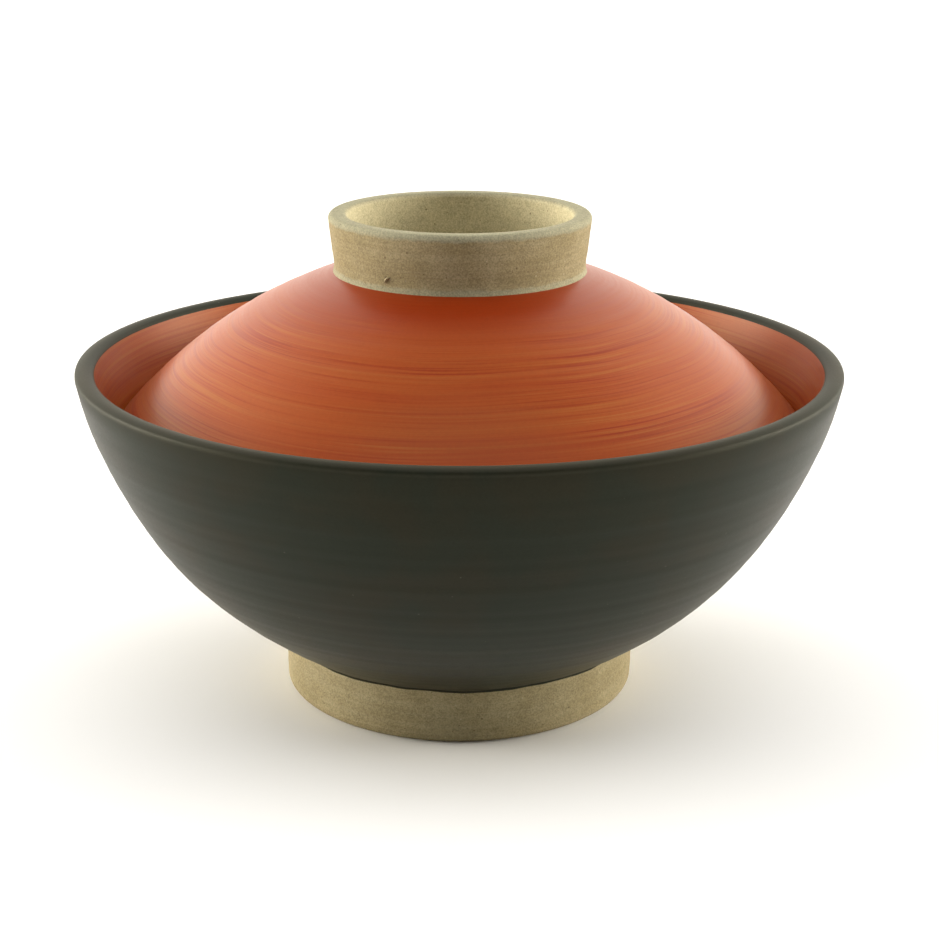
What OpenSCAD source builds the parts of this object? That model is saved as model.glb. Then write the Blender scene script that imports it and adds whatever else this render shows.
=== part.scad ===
// Lidded rice bowl (donburi) of thrown stoneware: a wide bowl on a turned foot ring, and a domed lid
// with a ring to hold it by, which sits down inside the mouth on the sloping inner wall.
// Millimetres. The table is at z = 0 and everything is round about the Z axis.

/* [Bowl] */
// Diameter of the mouth, across the outer edge of the lip
mouth_d = 180; // [160:1:200]
// Height of the lip's crest above the table
bowl_h = 80.7; // [74:0.1:88]
// Width of the lip
lip_w = 4.4; // [3.6:0.1:5.2]
// Radius of the lip's rounded crest, seen in section
lip_crest_r = 3.3; // [2.9:0.1:4]
// Radius of the wall's outer curve, seen from the side
wall_curve_r = 100; // [92:1:112]
// Radius of the wall's inner curve, seen in section
inner_curve_r = 96; // [90:1:108]
// Diameter of the flat floor inside
floor_d = 50; // [42:1:58]
// Thickness of the floor
floor_t = 6.4; // [5:0.1:7.6]

/* [Foot ring] */
// Diameter of the foot ring at its root, where the wall begins
foot_d = 85.8; // [78:0.2:94]
// Height of the foot ring's root above the table
foot_h = 13.4; // [11:0.1:15]
// How much the foot ring's radius shrinks from its root to the table
foot_taper = 0.25; // [0:0.05:1]
// Width of the foot ring, across its root
foot_w = 6.6; // [5:0.1:8]
// Height of the hollow inside the foot ring, in the middle
foot_hollow_h = 6.6; // [5.4:0.1:7.6]
// Bevel on both bottom edges of the foot ring
foot_bevel = 0.9; // [0.3:0.1:1.5]

/* [Lid] */
// How far in from the lip's inner edge the outer edge of the dome stands, which sets how deep the lid sits
lid_setback = 4.6; // [3:0.1:6.4]
// Height from the dome's edge to the root of its ring
dome_rise = 34.9; // [31:0.1:38]
// Radius of the dome's curve, seen from the side
dome_curve_r = 118; // [108:1:135]
// Thickness of the dome
lid_t = 4.6; // [3.8:0.1:5.4]
// Height of the lid's edge, from its bottom to the dome's outer edge
lid_edge_h = 2.8; // [2:0.1:3.4]
// Gap between the lid's edge and the bowl's inner wall
seat_gap = 0.3; // [0.2:0.05:0.6]

/* [Grip ring] */
// Diameter of the grip ring at its root, on the dome
ring_root_d = 58.6; // [52:0.2:64]
// Diameter of the grip ring at its top
ring_top_d = 61.3; // [57:0.1:67]
// Height of the grip ring above its root
ring_h = 13.5; // [11:0.1:16]
// Width of the grip ring at its top
ring_w = 4.4; // [3.8:0.1:5.2]
// How much farther in the grip ring's inner side stands at its root than at its top
ring_lean = 0.6; // [0:0.1:1.2]
// Radius of the rounding on both top edges of the grip ring
ring_round = 1.2; // [0.6:0.1:1.6]
// Height of the floor inside the grip ring above the ring's root
ring_floor_rise = 1; // [0.4:0.1:1.6]
// Thickness of the lid under that floor
ring_floor_t = 5; // [4.2:0.1:5.8]

/* [Slip] */
// Thickness of every fired coat of slip
slip_t = 0.45; // [0.3:0.05:0.6]
// Depth below the lip's edges at which the dark slip gives way to the red slip inside
slip_meet_drop = 0.5; // [0.3:0.1:1]

/* [Hidden] */
clay_colour = "#b39c72";
dark_slip_colour = "#3a3d34";
red_slip_colour = "#a3522f";
overrun = 1; // how far a cutting shape runs past what it cuts
reach = mouth_d + bowl_h; // more than any outline's width or height
round_steps = 6; // straight steps in each rounded edge of the grip ring

mouth_r = mouth_d / 2;
lip_mid_r = mouth_r - lip_w / 2;
crest_z = bowl_h - lip_crest_r; // centre of the lip's crest circle
lip_z = crest_z + sqrt(pow(lip_crest_r, 2) - pow(lip_w / 2, 2)); // both edges of the lip
slip_meet_z = lip_z - slip_meet_drop;
foot_r = foot_d / 2;
floor_z = foot_hollow_h + floor_t;
wall_c = arc_centre([foot_r, foot_h], [mouth_r, lip_z], wall_curve_r);
inner_c = arc_centre([floor_d / 2, floor_z], [mouth_r - lip_w, lip_z], inner_curve_r);

seat_curve_r = inner_curve_r - seat_gap; // the lid's edge follows the inner wall at this radius
lid_r = mouth_r - lip_w - lid_setback; // outer edge of the dome
lid_z = inner_c.y - sqrt(pow(seat_curve_r, 2) - pow(lid_r - inner_c.x, 2)); // the dome's outer edge
lid_bottom_z = lid_z - lid_edge_h;
ring_root_r = ring_root_d / 2;
ring_top_r = ring_top_d / 2;
ring_root_z = lid_z + dome_rise;
ring_top_z = ring_root_z + ring_h;
ring_floor_z = ring_root_z + ring_floor_rise;
ceiling_z = ring_floor_z - ring_floor_t; // the flat middle of the lid's underside
dome_c = arc_centre([lid_r, lid_z], [ring_root_r, ring_root_z], dome_curve_r);

$fn = 180;

// Centre of the circle of radius r through p and q that lies on the left of the way from p to q
function arc_centre(p, q, r) =
    let (way = q - p, half = norm(way) / 2)
    (p + q) / 2 + sqrt(r * r - half * half) * [-way.y, way.x] / norm(way);

// Points on a quarter circle of radius r about c, from the angle a onwards
function quarter(c, r, a) =
    [for (i = [0 : round_steps]) let (t = a + 90 * i / round_steps) c + r * [cos(t), sin(t)]];

module disc(c, r) {
    translate(c) circle(r);
}

module above(z) {
    translate([0, z]) square([reach, reach]);
}

module below(z) {
    translate([0, z - reach]) square([reach, reach]);
}

// The room inside the bowl's wall, with the wall cut back by skin
module bowl_room(skin) {
    intersection() {
        disc(inner_c, inner_curve_r + skin);
        above(floor_z - skin);
    }
}

// The bowl's wall and floor in section, with every finished surface cut back by skin
module bowl_section(skin) {
    difference() {
        intersection() {
            disc(wall_c, wall_curve_r - skin);
            above(foot_hollow_h);
            union() {
                below(crest_z);
                disc([lip_mid_r, crest_z], lip_crest_r - skin);
            }
        }
        bowl_room(skin);
    }
}

// The lid without its hollow in section, with every finished surface cut back by skin
module lid_outline(skin) {
    intersection() {
        disc(dome_c, dome_curve_r - skin);
        disc(inner_c, seat_curve_r - skin);
        above(lid_bottom_z);
    }
}

// The hollow under the lid, with the lid cut back by skin
module lid_room(skin) {
    intersection() {
        disc(dome_c, dome_curve_r - lid_t + skin);
        below(ceiling_z + skin);
    }
}

// The outline of the lid's clay, which the grip ring stands on
module lid_clay_outline() {
    intersection() {
        lid_outline(slip_t);
        below(ring_floor_z);
    }
}

module bowl_body() {
    color(clay_colour) rotate_extrude() bowl_section(slip_t);
}

module foot_ring() {
    inner_r = foot_r - foot_w;
    base_r = foot_r - foot_taper;
    top_z = foot_h + slip_t + overrun;
    color(clay_colour) rotate_extrude() difference() {
        polygon([
            [inner_r + foot_bevel, 0],
            [base_r - foot_bevel, 0],
            [base_r, foot_bevel],
            [foot_r, foot_h],
            [foot_r, top_z],
            [inner_r, top_z],
            [inner_r, foot_bevel]
        ]);
        disc(wall_c, wall_curve_r - slip_t);
    }
}

// The dark coat on the outside of the wall, which runs over the lip
module bowl_outer_slip() {
    color(dark_slip_colour) rotate_extrude() difference() {
        bowl_section(0);
        bowl_section(slip_t);
        intersection() {
            bowl_room(slip_t);
            below(slip_meet_z);
        }
        square([foot_r, foot_h + slip_t + overrun]);
    }
}

module bowl_inner_slip() {
    color(red_slip_colour) rotate_extrude() difference() {
        intersection() {
            bowl_room(slip_t);
            below(slip_meet_z);
        }
        bowl_room(0);
    }
}

module lid_body() {
    color(clay_colour) rotate_extrude() difference() {
        lid_clay_outline();
        lid_room(slip_t);
    }
}

module grip_ring() {
    inner_r = ring_top_r - ring_w;
    round_z = ring_top_z - ring_round;
    buried_z = ring_root_z - overrun;
    color(clay_colour) rotate_extrude() difference() {
        polygon(concat(
            [[inner_r - ring_lean, buried_z], [ring_root_r, buried_z], [ring_root_r, ring_root_z]],
            quarter([ring_top_r - ring_round, round_z], ring_round, 0),
            quarter([inner_r + ring_round, round_z], ring_round, 90),
            [[inner_r - ring_lean, ring_root_z]]
        ));
        lid_clay_outline();
    }
}

// The red coat on the dome, round the grip ring and down the edge that meets the wall
module lid_outer_slip() {
    color(red_slip_colour) rotate_extrude() difference() {
        lid_outline(0);
        lid_outline(slip_t);
        square([ring_root_r, ring_top_z]);
    }
}

module lid_inner_slip() {
    color(red_slip_colour) rotate_extrude() difference() {
        intersection() {
            lid_room(slip_t);
            above(lid_bottom_z);
        }
        lid_room(0);
    }
}

bowl_body();
foot_ring();
bowl_outer_slip();
bowl_inner_slip();
lid_body();
grip_ring();
lid_outer_slip();
lid_inner_slip();
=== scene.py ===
from math import atan2, ceil, cos, pi, radians, sin, sqrt, tau

import bpy
from mathutils import Matrix, Vector


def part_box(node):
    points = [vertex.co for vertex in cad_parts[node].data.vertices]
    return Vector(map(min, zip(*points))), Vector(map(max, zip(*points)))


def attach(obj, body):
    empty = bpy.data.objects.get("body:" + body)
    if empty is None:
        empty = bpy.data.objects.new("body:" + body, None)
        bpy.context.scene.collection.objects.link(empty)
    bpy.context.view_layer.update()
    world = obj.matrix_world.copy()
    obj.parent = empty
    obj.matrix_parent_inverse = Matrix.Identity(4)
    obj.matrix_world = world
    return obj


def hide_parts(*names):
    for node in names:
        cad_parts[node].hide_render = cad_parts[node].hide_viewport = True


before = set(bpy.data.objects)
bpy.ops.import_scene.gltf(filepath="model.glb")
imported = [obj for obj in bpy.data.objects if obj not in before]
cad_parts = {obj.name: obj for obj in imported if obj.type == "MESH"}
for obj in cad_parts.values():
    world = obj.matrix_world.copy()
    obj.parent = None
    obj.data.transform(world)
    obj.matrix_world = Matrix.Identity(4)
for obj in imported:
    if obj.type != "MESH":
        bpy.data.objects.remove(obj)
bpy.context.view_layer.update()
mm = 0.001  # values below are in millimetres, meshes in metres

view = {  # the photograph's viewing angle
    "distance": 420,  # level distance from the bowl's axis
    "height": 189.2,
    "pitch": 18.075,  # degrees down
    "yaw": 0.345,  # degrees to the right
    "roll": 0.234,
    "lens": 69.65,
    "sensor": 36,
}


def makeCamera():
    lens = bpy.data.cameras.new("camera")
    lens.lens = view["lens"]
    lens.sensor_width = view["sensor"]
    camera = bpy.data.objects.new("camera", lens)
    bpy.context.scene.collection.objects.link(camera)
    camera.matrix_world = (
        Matrix.Translation((0, -view["distance"] * mm, view["height"] * mm))
        @ Matrix.Rotation(-radians(view["yaw"]), 4, "Z")
        @ Matrix.Rotation(pi / 2 - radians(view["pitch"]), 4, "X")
        @ Matrix.Rotation(radians(view["roll"]), 4, "Z")
    )
    bpy.context.scene.camera = camera
    print("camera set")


makeCamera()


# Profiles: lists of (radius, height) points, drawn in section and spun about the axis


def arcCentre(p, q, radius):  # centre of the circle through p and q, left of the way from p to q
    way = q - p
    half = way.length / 2
    return (p + q) / 2 + sqrt(radius**2 - half**2) * Vector((-way.y, way.x)) / way.length


def atHeight(centre, radius, height):  # where a circle crosses a height, on the side away from the axis
    return Vector((centre.x + sqrt(radius**2 - (height - centre.y) ** 2), height))


def atRadius(centre, radius, out, side):  # where it crosses a distance out, above (1) or below (-1)
    return Vector((out, centre.y + side * sqrt(radius**2 - (out - centre.x) ** 2)))


def arc(centre, start, end, gap):  # points round the circle about centre, from start towards end
    radius = (start - centre).length
    first = atan2(start.y - centre.y, start.x - centre.x)
    turn = atan2(end.y - centre.y, end.x - centre.x) - first
    count = max(2, ceil(abs(turn) * radius / gap))
    angles = [first + turn * i / count for i in range(count + 1)]
    return [centre + radius * Vector((cos(a), sin(a))) for a in angles]


def line(start, end, gap):
    count = max(1, ceil((end - start).length / gap))
    return [start.lerp(end, i / count) for i in range(count + 1)]


def join(*runs):  # one profile of several runs, without the points that they share
    points = list(runs[0])
    for run in runs[1:]:
        points += [p for p in run if (p - points[-1]).length > mm]
    return points


def soften(points, corner, reach, steps=6):  # rounds a profile off within reach of one of its corners
    near = [i for i, p in enumerate(points) if (p - corner).length < reach]
    before = points[near[0] - 1]
    after = points[near[-1] + 1]
    shares = [i / steps for i in range(1, steps)]
    bend = [before.lerp(corner, t).lerp(corner.lerp(after, t), t) for t in shares]
    return points[: near[0]] + bend + points[near[-1] + 1 :]


def ramp(value, low, high):  # 0 below low and 1 above high, smooth between
    share = min(1, max(0, (value - low) / (high - low)))
    return share * share * (3 - 2 * share)


def within(height, rise=None, fall=None):  # grows from 0 to 1 over rise and back to 0 over fall
    share = ramp(height, *rise) if rise else 1
    return share * (1 - ramp(height, *fall)) if fall else share


waves = (1, 1.7, 2.9)  # lengths of the waves that make up the rings, against their gap


def ripple(points, marks, rise=None, fall=None):  # faint rings left by fingers and tool
    size, gap, seed = marks
    moved = [points[0]]
    along = 0
    for before, here, after in zip(points, points[1:], points[2:]):
        along += (here - before).length
        way = (after - before).normalized()
        wave = sum(sin(tau * along / gap / k + seed * k) / 2 for k in waves)
        moved.append(here + Vector((-way.y, way.x)) * size * wave * within(here.y, rise, fall))
    return moved + [points[-1]]


# Mesh steps

turning = {
    "steps": 288,  # round the pot
    "merge": 0.001,  # points closer than this become one
    "crease": 60,  # degrees, past which an edge stays sharp
}


def spin(name, points, inward=False, steps=turning["steps"]):
    ring = (points[0] - points[-1]).length < mm  # a profile that comes back to its start
    points = points[:-1] if ring else points
    bpy.ops.object.select_all(action="DESELECT")
    bpy.ops.mesh.primitive_circle_add(vertices=len(points), radius=mm)
    piece = bpy.context.object
    piece.name = name
    for v, p in zip(piece.data.vertices, points):
        v.co = (p.x * mm, 0, p.y * mm)
    bpy.ops.object.mode_set(mode="EDIT")
    if not ring:
        openLoop(piece)
    bpy.ops.object.mode_set(mode="OBJECT")
    modify(piece, "SCREW", angle=tau, steps=steps, render_steps=steps, axis="Z")
    bpy.ops.object.mode_set(mode="EDIT")
    bpy.ops.mesh.select_all(action="SELECT")
    bpy.ops.mesh.remove_doubles(threshold=turning["merge"] * mm)
    bpy.ops.mesh.normals_make_consistent(inside=inward)
    bpy.ops.object.mode_set(mode="OBJECT")
    return piece


def openLoop(piece):  # takes out the edge from a loop's last point back to its first
    bpy.ops.mesh.select_all(action="DESELECT")
    bpy.ops.object.mode_set(mode="OBJECT")
    last = len(piece.data.vertices) - 1
    for edge in piece.data.edges:
        edge.select = set(edge.vertices) == {0, last}
    bpy.ops.object.mode_set(mode="EDIT")
    bpy.ops.mesh.select_mode(type="EDGE")
    bpy.ops.mesh.delete(type="EDGE")
    bpy.ops.mesh.select_mode(type="VERT")


def weigh(piece, name, rise=None, fall=None):  # a vertex group that fades in and out with the height
    group = piece.vertex_groups.new(name=name)
    for v in piece.data.vertices:
        share = within(v.co.z / mm, rise, fall)
        if share > 0:
            group.add([v.index], share, "REPLACE")


def modify(piece, kind, **settings):
    pick(piece)
    modifier = piece.modifiers.new(kind.lower(), kind)
    for name, value in settings.items():
        setattr(modifier, name, value)
    bpy.ops.object.modifier_apply(modifier=modifier.name)


def pick(piece):  # selects one piece and makes it active
    bpy.ops.object.select_all(action="DESELECT")
    piece.select_set(True)
    bpy.context.view_layer.objects.active = piece


def unround(piece, lumps, group, direction="NORMAL"):  # nothing thrown by hand is quite round
    size, height = lumps
    clouds = bpy.data.textures.new("lumps", "CLOUDS")
    clouds.noise_scale = size * mm
    clouds.noise_depth = 1
    modify(piece, "DISPLACE", texture=clouds, texture_coords="LOCAL", strength=height * mm,
           mid_level=0.5, vertex_group=group, direction=direction)


def thicken(piece):  # gives a coat its depth, behind the face that shows
    modify(piece, "SOLIDIFY", thickness=slipDepth * mm, offset=-1, use_even_offset=False)


def dress(piece, body, slot, finish, *nodes):
    pick(piece)
    bpy.ops.object.shade_smooth_by_angle(angle=radians(turning["crease"]))
    piece.data.materials.clear()
    piece.data.materials.append(finish)
    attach(piece, body)
    if nodes:
        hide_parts(*nodes)
    print(piece.name, "made,", len(piece.data.polygons), "faces")


# Materials


speckEdge = 0.04  # over which part of a cell's random value its speck fades out


class Wire:  # one socket of a node tree; sums on wires add math nodes
    def __init__(self, tree, socket=None):
        self.tree = tree
        self.socket = socket

    def node(self, kind, settings=None, sockets=None, output=0):
        made = self.tree.nodes.new("ShaderNode" + kind)
        for name, value in (settings or {}).items():
            setattr(made, name, value)
        for name, value in (sockets or {}).items():
            if isinstance(value, Wire):
                self.tree.links.new(value.socket, made.inputs[name])
            else:
                made.inputs[name].default_value = value
        return Wire(self.tree, made.outputs[output] if made.outputs else None)

    def other(self, name):  # another output of the same node
        return Wire(self.tree, self.socket.node.outputs[name])

    def sum(self, operation, first, second=0):
        return self.node("Math", {"operation": operation}, {0: first, 1: second})

    def __add__(self, other):
        return self.sum("ADD", self, other)

    def __radd__(self, other):
        return self.sum("ADD", other, self)

    def __sub__(self, other):
        return self.sum("SUBTRACT", self, other)

    def __rsub__(self, other):
        return self.sum("SUBTRACT", other, self)

    def __mul__(self, other):
        return self.sum("MULTIPLY", self, other)

    def __rmul__(self, other):
        return self.sum("MULTIPLY", other, self)

    def __truediv__(self, other):
        return self.sum("DIVIDE", self, other)

    def __pow__(self, other):
        return self.sum("POWER", self, other)

    def band(self, low, high, bottom=0, top=1):  # a smooth step from one value to another
        return self.node("MapRange", {"interpolation_type": "SMOOTHSTEP"},
                         {"Value": self, "From Min": low, "From Max": high,
                          "To Min": bottom, "To Max": top})

    def mix(self, first, second, factor, kind="MIX"):  # one colour laid over another
        return self.node("Mix", {"data_type": "RGBA", "blend_type": kind},
                         {0: factor, 6: first, 7: second}, output=2)


class Finish(Wire):  # a new material, with the places on the pot that its patterns follow
    def __init__(self, name):
        self.material = bpy.data.materials.new(name)
        self.material.use_nodes = True
        super().__init__(self.material.node_tree)
        self.tree.nodes.clear()
        self.place = self.node("TexCoord", output="Object")
        flat = self.node("VectorMath", {"operation": "MULTIPLY"}, {0: self.place, 1: (1, 1, 0)})
        self.out = self.node("VectorMath", {"operation": "LENGTH"}, {0: flat}, "Value") / mm
        self.way = self.node("VectorMath", {"operation": "NORMALIZE"}, {0: flat})
        self.up = self.node("SeparateXYZ", sockets={0: self.place}, output="Z") / mm

    def noise(self, size, detail, roughness, seed):  # lumps of a size in mm
        return self.node("TexNoise", {"noise_dimensions": "4D"},
                         {"Vector": self.place, "W": seed, "Scale": 1 / (size * mm),
                          "Detail": detail, "Roughness": roughness})

    def strokes(self, along, width, turn, detail, roughness, seed):  # lines round the pot
        bend = self.node("VectorMath", {"operation": "SCALE"}, {0: self.way, "Scale": turn})
        climb = self.node("CombineXYZ", sockets={"Z": along / width})
        place = self.node("VectorMath", {"operation": "ADD"}, {0: bend, 1: climb})
        return self.node("TexNoise", {"noise_dimensions": "4D"},
                         {"Vector": place, "W": seed, "Scale": 1, "Detail": detail,
                          "Roughness": roughness})

    def specks(self, size, radius, share, seed):  # dots of a radius, in a share of cells of a size
        cell = self.node("TexVoronoi", {"voronoi_dimensions": "4D"},
                         {"Vector": self.place, "W": seed, "Scale": 1 / (size * mm)})
        chance = self.node("SeparateColor", sockets={0: cell.other("Color")})
        return cell.band(radius / size, radius / size / 2) * chance.band(share, share - speckEdge)

    def bump(self, height, depth):  # height from 0 to 1, depth in mm
        return self.node("Bump", sockets={"Height": height, "Distance": depth * mm, "Strength": 1})

    def done(self, colour, roughness, normal, **constants):
        sockets = {"Base Color": colour, "Roughness": roughness, "Normal": normal, "IOR": 1.5}
        for name, value in constants.items():
            sockets[name.replace("_", " ")] = value
        shader = self.node("BsdfPrincipled", sockets=sockets)
        self.node("OutputMaterial", sockets={"Surface": shader})
        print(self.material.name, "mixed")
        return self.material


def total(shares, *patterns):  # patterns added up, each with its share
    return sum(share * pattern for share, pattern in zip(shares, patterns))


# Patterns are given as (size in mm, detail, roughness) for lumps, (width in mm, turn, detail,
# roughness) for strokes round the pot, and (cell and radius in mm, share of cells) for specks.
# Where a pattern shows: (value at which it begins, value at which it is full, least, greatest)

clay = {
    "body": (0.249, 0.202, 0.105, 1),
    "pale": (0.33, 0.279, 0.163, 1),
    "iron": (0.07, 0.042, 0.018, 1),  # dark specks
    "sand": (0.446, 0.4, 0.279, 1),  # pale specks
    "ash": (0.307, 0.312, 0.223, 1),  # the grey-green bloom on rims
    "clouds": (9, 2, 0.5),
    "mottles": (2.6, 2, 0.6),
    "grain": (0.9, 3, 0.6),
    "dust": (0.36, 2, 0.6),
    "toolMarks": (1.1, 0.7, 3, 0.6),
    "darkSpecks": (1.7, 0.34, 0.45),
    "smallSpecks": (0.8, 0.2, 0.5),
    "paleSpecks": (1.1, 0.24, 0.5),
    "paleClouds": (0.35, 0.68, 0, 0.5),
    "paleMarks": (0.4, 0.65, 0, 0.3),
    "darkShare": 0.6,
    "smallShare": 0.5,
    "paleShare": 0.5,
    "ragged": (2.5, 3, 0.5),  # lumps along a bloom's edge
    "raggedness": 1.4,  # how far they reach, in mm
    "dustLight": (0.3, 0.7, 0.48, 0.88),
    "light": (0.34, 0.3),  # from grain and mottles
    "heights": (0.5, 0.4, 0.3, -0.4),  # of grain, dust, tool marks and dark specks
    "roughness": 0.85,
    "polish": 0.1,  # how much smoother the dark specks are
    "shine": 0.2,
    "relief": 0.09,  # depth of the sandy skin
}


def makeClay(name, seed, bloom=None, speckled=1):
    m = Finish(name)
    clouds = m.noise(*clay["clouds"], seed)
    grain = m.noise(*clay["grain"], seed + 1)
    dust = m.noise(*clay["dust"], seed + 2)
    marks = m.strokes(m.out + m.up, *clay["toolMarks"], seed + 3)
    mottles = m.noise(*clay["mottles"], seed + 7)
    paleness = clouds.band(*clay["paleClouds"]) + marks.band(*clay["paleMarks"])
    colour = m.mix(clay["body"], clay["pale"], paleness)
    if bloom:
        edge = (m.noise(*clay["ragged"], seed + 4) - 0.5) * clay["raggedness"]
        colour = bloom(m, colour, edge)
    dark = speckled * m.specks(*clay["darkSpecks"], seed)
    small = speckled * m.specks(*clay["smallSpecks"], seed + 5)
    pale = m.specks(*clay["paleSpecks"], seed + 6)
    colour = m.mix(colour, clay["iron"], dark * clay["darkShare"])
    colour = m.mix(colour, clay["iron"], small * clay["smallShare"])
    colour = m.mix(colour, clay["sand"], pale * clay["paleShare"])
    shade = dust.band(*clay["dustLight"]) + total(clay["light"], grain, mottles)
    colour = m.mix(colour, shade, 1, "MULTIPLY")
    height = total(clay["heights"], grain, dust, marks, dark)
    rough = clay["roughness"] - clay["polish"] * dark
    return m.done(colour, rough, m.bump(height, clay["relief"]), Specular_IOR_Level=clay["shine"])


redSlip = {
    "fired": (0.309, 0.0505, 0.0052, 1),
    "deep": (0.226, 0.0157, 0.0009, 1),  # where the brush left it thick; on the dome also painted shade round the grip ring
    "thin": (0.339, 0.0957, 0.0148, 1),  # where the clay shows through
    "pitch": 0.7,  # how far a stroke moves for a millimetre out and one up
    "drift": (40, 1.1, 1, 0.5),  # slow wander of all the strokes
    "drifting": 4,  # how far it takes them, in mm
    "bands": (7, 0.7, 2, 0.5),
    "lines": (0.85, 0.75, 2, 0.6),
    "hairs": (0.4, 1.6, 2, 0.6),
    "patches": (11, 1.3, 1, 0.5),  # where the brush ran dry and left more lines
    "grain": (0.7, 2, 0.6),
    "patchy": (0.36, 0.6, 0.3, 1),
    "thinBands": (0.45, 0.75, 0, 0.16),
    "deepBands": (0.5, 0.28, 0, 0.35),
    "deepenShare": 0.75,  # share of the deep colour where the colour darkens; on the dome this is painted shade
    "deepLines": (0.48, 0.34, 0, 0.8),
    "thinLines": (0.53, 0.66, 0, 0.65),
    "deepHairs": (0.47, 0.34),
    "deepHairShare": (0.15, 0.45),  # everywhere, and more where the brush ran dry
    "thinHairs": (0.53, 0.66, 0, 0.5),
    "darkest": 0.88,  # the least light in the grain
    "light": 0.24,
    "heights": (0.6, 0.25, 0.3),  # of lines, hairs and grain
    "roughness": 0.34,
    "roughening": (0.12, 0.1),  # by lines and grain
    "shine": 0.235,
    "tint": (1, 0.8, 0.5, 1),  # of its reflections
    "relief": 0.02,
}


def makeRedSlip(name, climb, busy, deepening, seed):  # busy and the one after it: heights over which lines grow and the colour darkens; on the dome that darkening is painted shade round the grip ring
    m = Finish(name)
    along = (m.out + climb * m.up) * redSlip["pitch"]
    along = along + m.strokes(along, *redSlip["drift"], seed) * redSlip["drifting"]
    bands = m.strokes(along, *redSlip["bands"], seed + 1)
    lines = m.strokes(along, *redSlip["lines"], seed + 2)
    hairs = m.strokes(along, *redSlip["hairs"], seed + 3)
    patches = m.strokes(along, *redSlip["patches"], seed + 4)
    often = m.up.band(*busy) * patches.band(*redSlip["patchy"])
    grain = m.noise(*redSlip["grain"], seed + 5)
    least, more = redSlip["deepHairShare"]
    colour = m.mix(redSlip["fired"], redSlip["thin"], bands.band(*redSlip["thinBands"]))
    colour = m.mix(colour, redSlip["deep"], bands.band(*redSlip["deepBands"]))
    # darker over the heights given; on the dome this is painted shade round the grip ring
    colour = m.mix(colour, redSlip["deep"], m.up.band(*deepening) * redSlip["deepenShare"])
    colour = m.mix(colour, redSlip["deep"], lines.band(*redSlip["deepLines"]) * often)
    colour = m.mix(colour, redSlip["thin"], lines.band(*redSlip["thinLines"]) * often)
    colour = m.mix(colour, redSlip["deep"], hairs.band(*redSlip["deepHairs"]) * (least + more * often))
    colour = m.mix(colour, redSlip["thin"], hairs.band(*redSlip["thinHairs"]) * often)
    shade = redSlip["darkest"] + redSlip["light"] * grain
    colour = m.mix(colour, shade, 1, "MULTIPLY")
    height = total(redSlip["heights"], lines, hairs, grain)
    rough = redSlip["roughness"] + total(redSlip["roughening"], lines - 0.5, grain - 0.5)
    return m.done(colour, rough, m.bump(height, redSlip["relief"]),
                  Specular_IOR_Level=redSlip["shine"], Specular_Tint=redSlip["tint"])


darkSlip = {
    "fired": (0.0074, 0.0117, 0.0079, 1),
    "brown": (0.0114, 0.0114, 0.0064, 1),
    "worn": (0.086, 0.086, 0.0645, 1),  # pale specks and the arrises of the lip
    "pitch": 0.7,
    "bands": (9, 0.8, 2, 0.5),
    "lines": (1.8, 0.9, 3, 0.6),
    "clouds": (16, 3, 0.5),
    "grain": (0.6, 3, 0.65),
    "specks": (1.7, 0.26, 0.3),
    "speckShare": 0.45,
    "browning": (0.6, 0.4),  # by clouds and bands
    "brownFrom": (0.42, 0.62),
    "wornFrom": (0.3, 0.6, 0.5, 1),
    "darkest": 0.52,
    "light": (0.3, 0.68),  # from lines and grain
    "heights": (0.5, 0.5),  # of lines and grain
    "roughness": 0.42,
    "lipRoughness": 0.54,
    "lipFrom": (76, 79.5),
    "roughening": 0.15,  # by the grain
    "shine": 0.137,
    "sheen": 0.035,  # a dusty warmth where the wall turns away
    "sheenTint": (1, 0.84, 0.58, 1),
    "tint": (1, 0.93, 0.67, 1),
    "relief": 0.03,
}


def makeDarkSlip(name, arrises, seed):
    m = Finish(name)
    along = (m.out + m.up) * darkSlip["pitch"]
    bands = m.strokes(along, *darkSlip["bands"], seed)
    lines = m.strokes(along, *darkSlip["lines"], seed + 1)
    clouds = m.noise(*darkSlip["clouds"], seed + 2)
    grain = m.noise(*darkSlip["grain"], seed + 3)
    specks = m.specks(*darkSlip["specks"], seed + 4)
    brown = total(darkSlip["browning"], clouds, bands).band(*darkSlip["brownFrom"])
    colour = m.mix(darkSlip["fired"], darkSlip["brown"], brown)
    shade = darkSlip["darkest"] + total(darkSlip["light"], lines, grain)
    colour = m.mix(colour, shade, 1, "MULTIPLY")
    colour = m.mix(colour, darkSlip["worn"], specks * darkSlip["speckShare"])
    for arris, reach, share in arrises:
        away = ((m.out - arris.x) ** 2 + (m.up - arris.y) ** 2) ** 0.5
        wear = away.band(reach, 0) * clouds.band(*darkSlip["wornFrom"]) * share
        colour = m.mix(colour, darkSlip["worn"], wear)
    height = total(darkSlip["heights"], lines, grain)
    rough = m.up.band(*darkSlip["lipFrom"], darkSlip["roughness"], darkSlip["lipRoughness"])
    rough = rough + darkSlip["roughening"] * (grain - 0.5)
    return m.done(colour, rough, m.bump(height, darkSlip["relief"]),
                  Specular_IOR_Level=darkSlip["shine"], Specular_Tint=darkSlip["tint"],
                  Sheen_Weight=darkSlip["sheen"], Sheen_Tint=darkSlip["sheenTint"])


# The bowl


def reachOf(node):  # a CAD node's largest radius, lowest and highest point
    low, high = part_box(node)
    return high.x / mm, low.z / mm, high.z / mm


slipDepth = 0.45
skin = slipDepth + 0.05  # how deep the clay lies under a coat's face
bowl = {
    "lipWidth": 4.4,
    "crestRadius": 3.3,
    "wallCurve": 100,
    "roomCurve": 96,
    "floorRadius": 25,
    "lift": 0.75,  # how much higher the mouth's front and sides stand than its back
    "liftFrom": (67, 79),
    "liftRound": (-0.9, 0.1),  # from the back towards the sides
}


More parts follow.
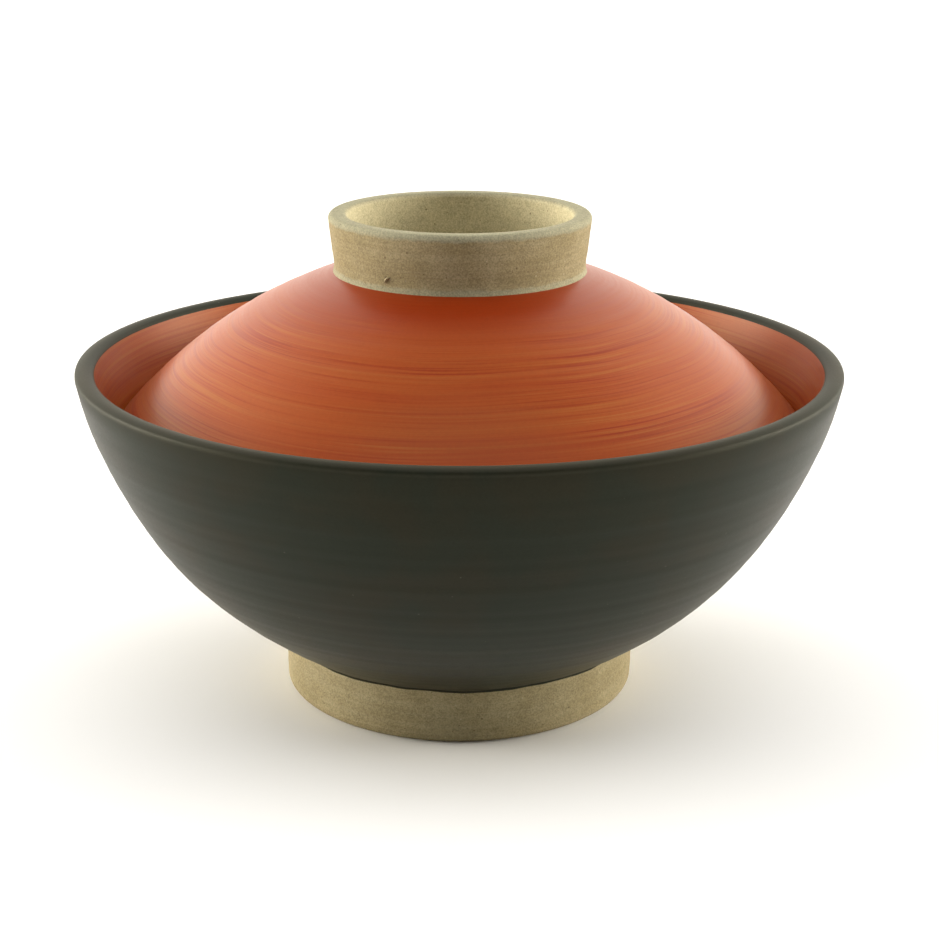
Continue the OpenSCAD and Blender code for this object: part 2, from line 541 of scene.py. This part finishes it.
def makeShape():  # the CAD model's sizes, and points that the bowl's pieces share
    bowl["mouthRadius"], bowl["rootHeight"], bowl["lipTop"] = reachOf("bowl_outer_slip")
    bowl["footRadius"] = reachOf("foot_ring")[0]
    bowl["hollowHeight"] = reachOf("bowl_body")[1]
    room = reachOf("bowl_inner_slip")
    bowl["floorHeight"] = room[1] + slipDepth
    bowl["meetHeight"] = room[2]  # where dark slip gives way to red
    lipMiddle = bowl["mouthRadius"] - bowl["lipWidth"] / 2
    bowl["crest"] = Vector((lipMiddle, bowl["lipTop"] - bowl["crestRadius"]))
    edge = bowl["crest"].y + sqrt(bowl["crestRadius"] ** 2 - (bowl["lipWidth"] / 2) ** 2)
    bowl["outerArris"] = Vector((bowl["mouthRadius"], edge))
    bowl["innerArris"] = Vector((bowl["mouthRadius"] - bowl["lipWidth"], edge))
    bowl["root"] = Vector((bowl["footRadius"], bowl["rootHeight"]))
    bowl["floorEdge"] = Vector((bowl["floorRadius"], bowl["floorHeight"]))
    bowl["wallCentre"] = arcCentre(bowl["root"], bowl["outerArris"], bowl["wallCurve"])
    bowl["roomCentre"] = arcCentre(bowl["floorEdge"], bowl["innerArris"], bowl["roomCurve"])


def raiseMouth(piece):  # the mouth isn't quite level
    for v in piece.data.vertices:
        out = sqrt(v.co.x**2 + v.co.y**2)
        forward = ramp(-v.co.y / max(out, mm), *bowl["liftRound"])
        v.co.z += ramp(v.co.z / mm, *bowl["liftFrom"]) * forward * bowl["lift"] * mm


darkCoat = {
    "lap": (0.08, -0.45),  # out from the foot ring's root and down over it
    "start": (0.1, 0),
    "gap": 0.9,  # between points of the profile
    "lipGap": 0.3,
    "swell": 0.2,  # slow wave in the thrown wall
    "swellTop": 34,
    "swellGap": 50,
    "swellRise": (14, 22),
    "swellFall": (68, 77),
    "ripples": (0.03, 3.1, 2),  # depth, gap and seed
    "rippleRise": (14, 18),
    "rippleFall": (74, 78),
    "arrisReach": 0.4,  # of the rounding on the lip's edges
    "lumps": (45, 0.5),  # size and height
    "lumpRise": (15, 24),
    "lumpFall": (70, 78),
    "edgeLumps": (9, 0.9),  # wander of the coat's lower edge
    "edgeFade": 1.5,
    "wear": (0.6, 0.12),  # reach and share, on the lip's edges
    "wearRise": 0.3,
    "seed": 3,
}


def makeDarkCoat():
    coat = darkCoat
    start = bowl["root"] + Vector(coat["start"])
    wall = []
    for p in arc(bowl["wallCentre"], start, bowl["outerArris"], coat["gap"]):
        size = coat["swell"] * within(p.y, coat["swellRise"], coat["swellFall"])
        size *= cos(tau * (p.y - coat["swellTop"]) / coat["swellGap"])
        wall.append(p + (p - bowl["wallCentre"]).normalized() * size)
    wall = ripple(wall, coat["ripples"], coat["rippleRise"], coat["rippleFall"])
    crest = arc(bowl["crest"], bowl["outerArris"], bowl["innerArris"], coat["lipGap"])
    meet = atHeight(bowl["roomCentre"], bowl["roomCurve"], bowl["meetHeight"])
    inside = line(bowl["innerArris"], meet, coat["lipGap"])
    points = join([bowl["root"] + Vector(coat["lap"])], wall, crest, inside)
    for arris in (bowl["outerArris"], bowl["innerArris"]):
        points = soften(points, arris, coat["arrisReach"])
    piece = spin("darkCoat", points)
    weigh(piece, "wall", coat["lumpRise"], coat["lumpFall"])
    unround(piece, coat["lumps"], "wall")
    weigh(piece, "edge", fall=(bowl["rootHeight"], bowl["rootHeight"] + coat["edgeFade"]))
    unround(piece, coat["edgeLumps"], "edge", "Z")
    raiseMouth(piece)
    thicken(piece)
    rise = Vector((0, coat["wearRise"]))
    arrises = [(bowl["outerArris"] + rise, *coat["wear"]), (bowl["innerArris"] + rise, *coat["wear"])]
    finish = makeDarkSlip("darkSlip", arrises, coat["seed"])
    dress(piece, "bowl", "dark_slip", finish, "bowl_outer_slip")


innerCoat = {
    "gap": 0.9,
    "floorGap": 0.7,
    "floorReach": 7,  # of the bend from wall to floor
    "bendSteps": 12,
    "tuck": 0.04,  # under the dark coat's edge
    "ripples": (0.05, 4.3, 5),
    "rippleFall": (60, 64),
    "busy": (80, 20, 1, 0.8),
    # darker towards the bottom of the bowl
    "deepening": (60, 30, 0, 0.3),
    "seed": 11,
}


def makeInnerCoat():
    coat = innerCoat
    top = atHeight(bowl["roomCentre"], bowl["roomCurve"], bowl["meetHeight"] + coat["tuck"])
    wall = arc(bowl["roomCentre"], top, bowl["floorEdge"], coat["gap"])
    floor = line(bowl["floorEdge"], Vector((0, bowl["floorHeight"])), coat["floorGap"])
    points = soften(join(wall, floor), bowl["floorEdge"], coat["floorReach"], coat["bendSteps"])
    points = ripple(points, coat["ripples"], fall=coat["rippleFall"])
    piece = spin("innerCoat", points, inward=True)
    raiseMouth(piece)
    thicken(piece)
    finish = makeRedSlip("redSlipBowl", 1, coat["busy"], coat["deepening"], coat["seed"])
    dress(piece, "bowl", "red_slip", finish, "bowl_inner_slip")


bowlClay = {
    "underGap": 0.7,
    "wallGap": 1.5,
    "rimGap": 0.6,
    "roomGap": 2,
    "ripples": (0.1, 2.3, 1),  # rings turned into the underside
    "baseReach": 3.5,  # of the bend from underside to wall
    "bendSteps": 10,
    "seed": 21,
}


def makeBowlClay():
    outer = bowl["wallCurve"] - skin
    room = bowl["roomCurve"] + skin
    crest = bowl["crestRadius"] - skin
    half = Vector((bowl["lipWidth"] / 2 - skin, 0))
    rise = Vector((0, sqrt(crest**2 - half.x**2)))
    outerTop = bowl["crest"] + half + rise
    innerTop = bowl["crest"] - half + rise
    base = atHeight(bowl["wallCentre"], outer, bowl["hollowHeight"])
    under = line(Vector((0, bowl["hollowHeight"])), base, bowlClay["underGap"])
    under = ripple(under, bowlClay["ripples"])
    wallTop = atRadius(bowl["wallCentre"], outer, outerTop.x, -1)
    wall = arc(bowl["wallCentre"], base, wallTop, bowlClay["wallGap"])
    rim = arc(bowl["crest"], outerTop, innerTop, bowlClay["rimGap"])
    roomTop = atRadius(bowl["roomCentre"], room, innerTop.x, -1)
    roomBase = atRadius(bowl["roomCentre"], room, bowl["floorRadius"], -1)
    inner = arc(bowl["roomCentre"], roomTop, roomBase, bowlClay["roomGap"])
    points = join(under, wall, rim, inner, [Vector((0, bowl["floorHeight"] - skin))])
    points = soften(points, base, bowlClay["baseReach"], bowlClay["bendSteps"])
    piece = spin("bowlClay", points)
    raiseMouth(piece)
    dress(piece, "bowl", "clay", makeClay("bareClayBase", bowlClay["seed"]), "bowl_body")


footRing = {
    "width": 6.6,
    "taper": 0.25,
    "bevel": 0.9,
    "gap": 0.7,
    "hiddenGap": 2,
    "edgeReach": 0.6,  # of the rounding on its edges
    "ripples": (0.03, 2.7, 4),
    "rippleRise": (1, 3),
    "lumps": (20, 0.25),
    "lumpRise": (1, 4),
    "lumpFall": (9, 13),
    "seed": 31,
}


def makeFootRing():
    foot = footRing
    inner = bowl["footRadius"] - foot["width"]
    base = bowl["footRadius"] - foot["taper"]
    wall = bowl["wallCurve"] - skin
    corners = [
        atRadius(bowl["wallCentre"], wall, bowl["footRadius"], -1),
        Vector((base, foot["bevel"])),
        Vector((base - foot["bevel"], 0)),
        Vector((inner + foot["bevel"], 0)),
        Vector((inner, foot["bevel"])),
        atRadius(bowl["wallCentre"], wall, inner, -1),
    ]
    runs = [line(a, b, foot["gap"]) for a, b in zip(corners, corners[1:])]
    points = join(*runs, line(corners[-1], corners[0], foot["hiddenGap"]))
    for corner in corners[1:5]:
        points = soften(points, corner, foot["edgeReach"])
    points = ripple(points, foot["ripples"], foot["rippleRise"])
    piece = spin("footRing", points)
    weigh(piece, "side", foot["lumpRise"], foot["lumpFall"])
    unround(piece, foot["lumps"], "side")
    dress(piece, "bowl", "clay", makeClay("bareClayFoot", foot["seed"]), "foot_ring")


# The lid

lid = {
    "rootRadius": 29.3,  # of the grip ring
    "depth": 4.6,
    "domeCurve": 118,
    "seatGap": 0.3,
    "coatRise": 0.3,  # how far above the clay's bottom both coats end
    "inside": (0.54, 0.49, 0.322, 1),  # painted light: clay made paler inside the grip ring, standing in for the light that falls into it
    "paintedLightShare": 0.8,
}


def makeLidShape():  # the same for the lid
    lid["radius"], lid["bottom"], lid["rootHeight"] = reachOf("lid_outer_slip")
    lid["ceiling"] = reachOf("lid_inner_slip")[2] - slipDepth
    lid["ringFloor"] = reachOf("lid_body")[2]
    lid["topRadius"], _, lid["top"] = reachOf("grip_ring")
    lid["seatCurve"] = bowl["roomCurve"] - lid["seatGap"]
    lid["edge"] = atRadius(bowl["roomCentre"], lid["seatCurve"], lid["radius"], -1)
    lid["root"] = Vector((lid["rootRadius"], lid["rootHeight"]))
    lid["domeCentre"] = arcCentre(lid["edge"], lid["root"], lid["domeCurve"])


domeCoat = {
    "gap": 0.8,
    "edgeGap": 0.4,
    "edgeReach": 0.9,
    "ripples": (0.035, 4.1, 7),
    "rippleRise": (68, 72),
    "rippleFall": (98, 101),
    "lumps": (40, 0.4),
    "lumpRise": (69, 76),
    "lumpFall": (96, 101),
    "busy": (99, 92, 0.1, 1),
    "deepening": (94, 100),  # painted shade round the grip ring's root
    "seed": 41,
}


def makeDomeCoat():
    coat = domeCoat
    low = atHeight(bowl["roomCentre"], lid["seatCurve"], lid["bottom"] + lid["coatRise"])
    edge = arc(bowl["roomCentre"], low, lid["edge"], coat["edgeGap"])
    dome = arc(lid["domeCentre"], lid["edge"], lid["root"], coat["gap"])
    dome = ripple(dome, coat["ripples"], coat["rippleRise"], coat["rippleFall"])
    piece = spin("domeCoat", soften(join(edge, dome), lid["edge"], coat["edgeReach"]))
    weigh(piece, "dome", coat["lumpRise"], coat["lumpFall"])
    unround(piece, coat["lumps"], "dome")
    thicken(piece)
    finish = makeRedSlip("redSlipDome", -1, coat["busy"], coat["deepening"], coat["seed"])
    dress(piece, "lid", "red_slip", finish, "lid_outer_slip")


ceilingCoat = {
    "gap": 0.9,
    "flatGap": 0.7,
    "bendReach": 6,
    "bendSteps": 12,
    "ripples": (0.05, 4.6, 3),
    "rippleRise": (65, 68),
    "busy": (60, 100, 0.8, 0.6),
    # darker towards the top of the lid's hollow
    "deepening": (70, 100, 0, 0.2),
    "seed": 51,
}


def makeCeilingCoat():
    coat = ceilingCoat
    hollow = lid["domeCurve"] - lid["depth"]
    low = atHeight(lid["domeCentre"], hollow, lid["bottom"] + lid["coatRise"])
    corner = atHeight(lid["domeCentre"], hollow, lid["ceiling"])
    wall = arc(lid["domeCentre"], low, corner, coat["gap"])
    flat = line(corner, Vector((0, lid["ceiling"])), coat["flatGap"])
    points = soften(join(wall, flat), corner, coat["bendReach"], coat["bendSteps"])
    points = ripple(points, coat["ripples"], coat["rippleRise"])
    piece = spin("ceilingCoat", points, inward=True)
    thicken(piece)
    finish = makeRedSlip("redSlipCeiling", -1, coat["busy"], coat["deepening"], coat["seed"])
    dress(piece, "lid", "red_slip", finish, "lid_inner_slip")


lidClay = {
    "floorGap": 0.7,
    "gap": 2,
    "edgeGap": 0.5,
    "rimGap": 0.25,
    "sunk": 1,  # how far the floor ends inside the grip ring's wall
    "edgeBack": 0.8,  # how far the clay stays behind the dome coat's edge
    "rimReach": 0.4,
    "ripples": (0.1, 2.6, 6),  # rings turned into the floor inside the grip ring
    "seed": 61,
}


def makeLidClay():
    floorEnd = Vector((lid["rootRadius"] - lidClay["sunk"], lid["ringFloor"]))
    floor = line(Vector((0, lid["ringFloor"])), floorEnd, lidClay["floorGap"])
    floor = ripple(floor, lidClay["ripples"])
    dome = lid["domeCurve"] - skin
    hollow = lid["domeCurve"] - lid["depth"] + skin
    start = atRadius(lid["domeCentre"], dome, lid["rootRadius"], 1)
    end = atRadius(lid["domeCentre"], dome, lid["edge"].x - lidClay["edgeBack"], 1)
    outer = arc(lid["domeCentre"], start, end, lidClay["gap"])
    low = atHeight(bowl["roomCentre"], lid["seatCurve"] - skin, lid["bottom"])
    rim = atHeight(lid["domeCentre"], hollow, lid["bottom"])
    corner = atHeight(lid["domeCentre"], hollow, lid["ceiling"] + skin)
    inner = arc(lid["domeCentre"], rim, corner, lidClay["gap"])
    edge = line(outer[-1], low, lidClay["edgeGap"])
    bottom = line(low, rim, lidClay["rimGap"])
    points = join(floor, outer, edge, bottom, inner, [Vector((0, lid["ceiling"] + skin))])
    points = soften(points, low, lidClay["rimReach"])
    points = soften(points, rim, lidClay["rimReach"])
    piece = spin("lidClay", points)

    def bloom(m, colour, edge):
        # painted light: the lid's clay is made paler, standing in for the light that falls into the
        # grip ring
        return m.mix(colour, lid["inside"], lid["paintedLightShare"])

    dress(piece, "lid", "clay", makeClay("bareClayLid", lidClay["seed"], bloom), "lid_body")


gripRing = {
    "width": 4.4,
    "lean": 0.6,
    "round": 1.2,
    "flare": (0.45, -0.4),  # the little collar at the root, out and up from it
    "neck": (0.05, 1.3),  # where the collar runs into the wall
    "buried": (-1, -1.5),
    "tuck": (0.2, -1),  # the inner wall's end, below the floor
    "neckReach": 0.8,
    "gap": 0.6,
    "collarGap": 0.3,
    "topGap": 0.4,
    "bendGap": 0.25,
    "tuckGap": 0.5,
    "steps": 320,
    "ripples": (0.03, 2.9, 8),
    "rippleFade": 1,  # they end over this height, at the rounding
    "lumps": (22, 0.22),
    "lumpRise": (0.6, 4),  # above the root
    "lumpFall": (112, 114),
    "paintedLightFrom": (0.7, -0.1),  # painted light inside the ring, fading in from outside the inner wall
    "rimBloom": (-1.9, -1.1),  # above the top
    "rimShare": 0.55,
    "collarBloom": (1.5, 0.7),  # above the root
    "collarShare": 0.45,
    "seed": 71,
}


def makeGripRing():
    ring = gripRing
    inner = lid["topRadius"] - ring["width"]
    shoulder = lid["top"] - ring["round"]
    drop = Vector((0, ring["round"]))
    outer = Vector((lid["topRadius"], shoulder))
    outerTop = Vector((lid["topRadius"] - ring["round"], lid["top"]))
    innerTop = Vector((inner + ring["round"], lid["top"]))
    inside = Vector((inner, shoulder))
    base = Vector((inner - ring["lean"], lid["ringFloor"]))
    neck = lid["root"] + Vector(ring["neck"])
    buried = lid["root"] + Vector(ring["buried"])
    points = join(
        [buried],
        line(lid["root"] + Vector(ring["flare"]), neck, ring["collarGap"]),
        line(neck, outer, ring["gap"]),
        arc(outerTop - drop, outer, outerTop, ring["bendGap"]),
        line(outerTop, innerTop, ring["topGap"]),
        arc(innerTop - drop, innerTop, inside, ring["bendGap"]),
        line(inside, base, ring["gap"]),
        line(base, base + Vector(ring["tuck"]), ring["tuckGap"]),
        [buried],
    )
    points = soften(points, neck, ring["neckReach"])
    points = ripple(points, ring["ripples"], fall=(shoulder - ring["rippleFade"], shoulder))
    piece = spin("gripRing", points, steps=ring["steps"])
    weigh(piece, "ring", [lid["rootHeight"] + above for above in ring["lumpRise"]], ring["lumpFall"])
    unround(piece, ring["lumps"], "ring")

    def bloom(m, colour, edge):
        # painted light: paler inside the ring's inner wall, standing in for the light that falls into
        # it
        hollow = m.out.band(*[inner + out for out in ring["paintedLightFrom"]])
        colour = m.mix(colour, lid["inside"], hollow * lid["paintedLightShare"])
        rim = (m.up + edge).band(*[lid["top"] + above for above in ring["rimBloom"]])
        collar = (m.up + edge).band(*[lid["rootHeight"] + above for above in ring["collarBloom"]])
        share = (rim * ring["rimShare"] + collar * ring["collarShare"]) * (1 - hollow)
        return m.mix(colour, clay["ash"], share)

    dress(piece, "lid", "clay", makeClay("bareClayRing", ring["seed"], bloom), "grip_ring")


burr = {  # a crumb of clay left on the ring's wall
    "length": 1.9,
    "width": 0.56,
    "bend": 0.3,
    "bearing": 236.5,  # degrees round from the right, at the left of the front
    "rise": 2.6,  # above the ring's root
    "proud": 0.18,
    "tilt": 52,  # degrees up from level
    "facets": (24, 16),
    "paleness": 0.7,
    "seed": 83,
}


def makeBurr():
    bpy.ops.object.select_all(action="DESELECT")
    around, up = burr["facets"]
    bpy.ops.mesh.primitive_uv_sphere_add(segments=around, ring_count=up, radius=mm / 2)
    piece = bpy.context.object
    piece.name = "burr"
    size = Matrix.Diagonal((burr["length"], burr["width"], burr["width"], 1))
    bearing = radians(burr["bearing"])
    climb = burr["rise"] / (lid["top"] - lid["rootHeight"])
    out = burr["proud"] + lid["rootRadius"] * (1 - climb) + lid["topRadius"] * climb
    spot = Vector((cos(bearing) * out, sin(bearing) * out, lid["rootHeight"] + burr["rise"]))
    place = Matrix.Translation(spot * mm)
    turn = Matrix.Rotation(bearing + pi / 2, 4, "Z") @ Matrix.Rotation(pi / 2, 4, "X")
    turn = turn @ Matrix.Rotation(radians(burr["tilt"]), 4, "Z")
    for v in piece.data.vertices:
        share = v.co.x / mm * 2  # -1 at one end, 1 at the other
        v.co = size @ v.co
        v.co.y -= burr["bend"] * mm * share**2
        v.co = place @ turn @ v.co

    def bloom(m, colour, edge):
        return m.mix(colour, clay["pale"], burr["paleness"])

    dress(piece, "lid", "clay", makeClay("bareClayBurr", burr["seed"], bloom, speckled=0))


makeShape()
makeDarkCoat()
makeInnerCoat()
makeBowlClay()
makeFootRing()
makeLidShape()
makeDomeCoat()
makeCeilingCoat()
makeLidClay()
makeGripRing()
makeBurr()


# Studio

studio = {  # brightness of the room by direction: a lamp low at each side, soft light behind and above
    "floorSize": 30000,
    "floor": (0.945, 0.95, 0.96, 1),
    "floorRoughness": 0.9,
    "floorDust": (30, 2, 0.5),
    "floorRelief": 0.01,
    "left": 23.8,
    "right": 20.8,
    "sideHigh": 2.5,
    "back": 2.05,
    "topFront": 2.15,
    "topBack": 0.6,
    "lampTop": (0.45, 0.2),  # heights on the unit sphere over which the lamps fade out
    "topFrom": (0.7, 0.9),
    "backFrom": (0.2, 0.7),  # headings, from -1 in front to 1 behind
    "sideFrom": (-0.34, 0.1),
    "topTurn": (-0.3, 0.3),
    "middle": (-0.05, 0.05),  # where the left lamp gives way to the right one
    "plain": (0.97, 0.99, 1.04, 1),
    "warm": (1, 0.945, 0.83, 1),  # the lamps' colour
}


def makeFloor():
    bpy.ops.object.select_all(action="DESELECT")
    bpy.ops.mesh.primitive_plane_add(size=studio["floorSize"] * mm)
    floor = bpy.context.object
    floor.name = "floor"
    m = Finish("floorWhite")
    dust = m.bump(m.noise(*studio["floorDust"], 0), studio["floorRelief"])
    floor.data.materials.append(m.done(studio["floor"], studio["floorRoughness"], dust))


def makeLight():
    world = bpy.data.worlds.new("studio")
    bpy.context.scene.world = world
    world.use_nodes = True
    world.node_tree.nodes.clear()
    w = Wire(world.node_tree)
    across = w.node("SeparateXYZ", sockets={0: w.node("TexCoord", output="Generated")})
    deep = across.other("Y")
    high = across.other("Z")
    heading = deep / (1.0001 - high * high) ** 0.5  # a little over 1, so that straight up isn't 0
    back = heading.band(*studio["backFrom"])
    side = heading.band(*studio["sideFrom"]) - back
    low = high.band(*studio["lampTop"])
    top = high.band(*studio["topFrom"])
    lamps = across.band(*studio["middle"], studio["left"], studio["right"])
    glow = side * low * lamps + studio["sideHigh"] * side * (1 - low - top)
    glow = glow + studio["back"] * back * (1 - top)
    glow = glow + top * heading.band(*studio["topTurn"], studio["topFront"], studio["topBack"])
    seen = w.node("LightPath", output="Is Camera Ray")  # the camera sees plain white
    colour = w.mix(studio["plain"], studio["warm"], (1 - top) * (1 - seen))
    lit = w.node("Background", sockets={"Color": colour, "Strength": glow * (1 - seen) + seen})
    w.node("OutputWorld", sockets={"Surface": lit})
    bpy.context.scene.view_settings.view_transform = "Standard"
    print("studio lit")


makeFloor()
makeLight()
